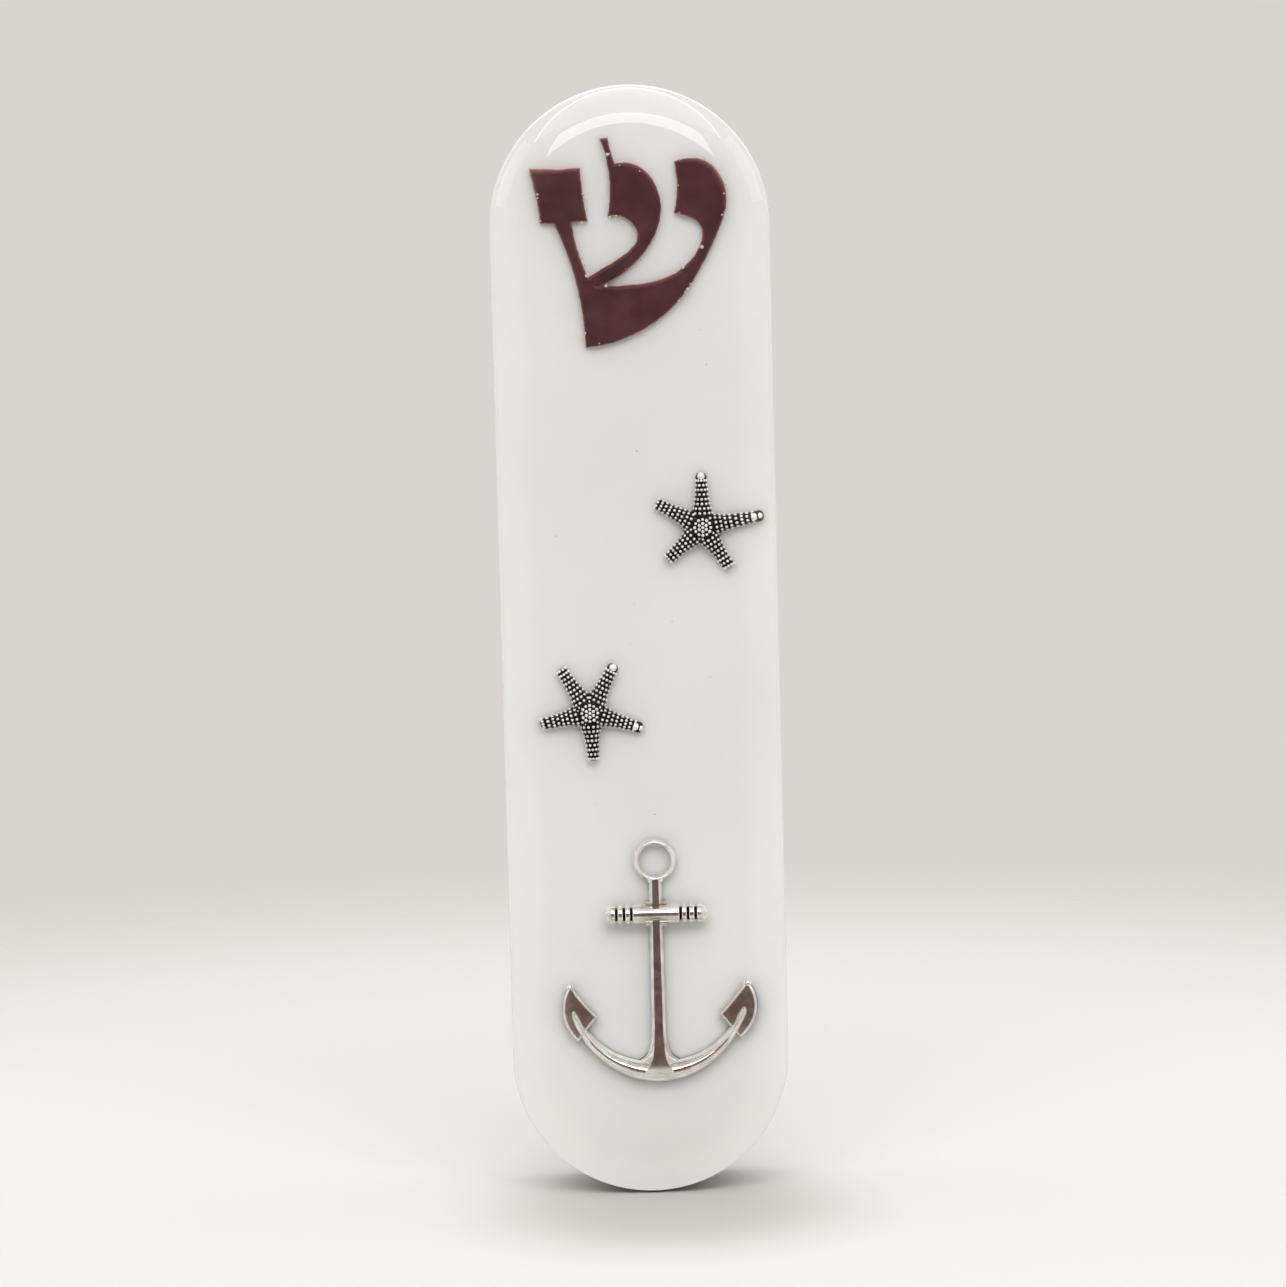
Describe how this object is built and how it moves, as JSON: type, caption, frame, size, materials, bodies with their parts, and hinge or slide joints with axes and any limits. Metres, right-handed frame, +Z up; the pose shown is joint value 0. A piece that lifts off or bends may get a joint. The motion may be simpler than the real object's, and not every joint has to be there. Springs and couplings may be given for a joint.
{
  "type": "mezuzah case",
  "caption": "Pill-shaped cast-resin mezuzah case with a clear front over white, holding a shin letter, starfish and anchor charms, with a scroll chamber behind a back cover.",
  "frame": {"origin": "middle of the doorpost plane, which is the outer face of the two adhesive strips once their liners are peeled off", "axes": "+Z up along the case, -Y out of the front, +Y into the doorpost, +X to the right as seen from the front"},
  "size_m": [0.03, 0.0172, 0.12],
  "materials": {
    "white_resin": "milky white cast resin, polished",
    "clear_resin": "clear cast resin, high gloss",
    "red_resin": "translucent dark red resin, glossy",
    "antique_silver": "cast alloy, silver beads on a blackened ground",
    "bright_silver": "cast alloy, bright silver plate with darkened grooves",
    "white_plastic": "moulded, satin",
    "parchment": "rolled parchment, matte",
    "clear_film": "thin clear film",
    "foam_tape": "closed-cell foam, adhesive both sides",
    "release_paper": "waxed release paper"
  },
  "bodies": {
    "case": {"case_body": "white_resin", "clear_front": "clear_resin", "shin_letter": "red_resin", "starfish_upper": "antique_silver", "starfish_lower": "antique_silver", "anchor_charm": "bright_silver", "left_tape": "foam_tape", "right_tape": "foam_tape"},
    "cover": {"back_cover": "white_plastic"},
    "rolled_scroll": {"scroll": "parchment", "scroll_wrapper": "clear_film"},
    "left_release": {"left_liner": "release_paper"},
    "right_release": {"right_liner": "release_paper"}
  },
  "joints": [
    {"name": "cover_lift", "type": "slide", "parent": "case", "child": "cover", "axis": [0, 1, 0], "range_m": [0, 0.04]},
    {"name": "scroll_lift", "type": "slide", "parent": "case", "child": "rolled_scroll", "axis": [0, 1, 0], "range_m": [0, 0.02]},
    {"name": "left_liner_peel", "type": "slide", "parent": "case", "child": "left_release", "axis": [0, 1, 0], "range_m": [0, 0.012]},
    {"name": "right_liner_peel", "type": "slide", "parent": "case", "child": "right_release", "axis": [0, 1, 0], "range_m": [0, 0.012]}
  ],
  "couplings": [
    {"joint": "scroll_lift", "follows": "cover_lift", "ratio": 0.5}
  ]
}
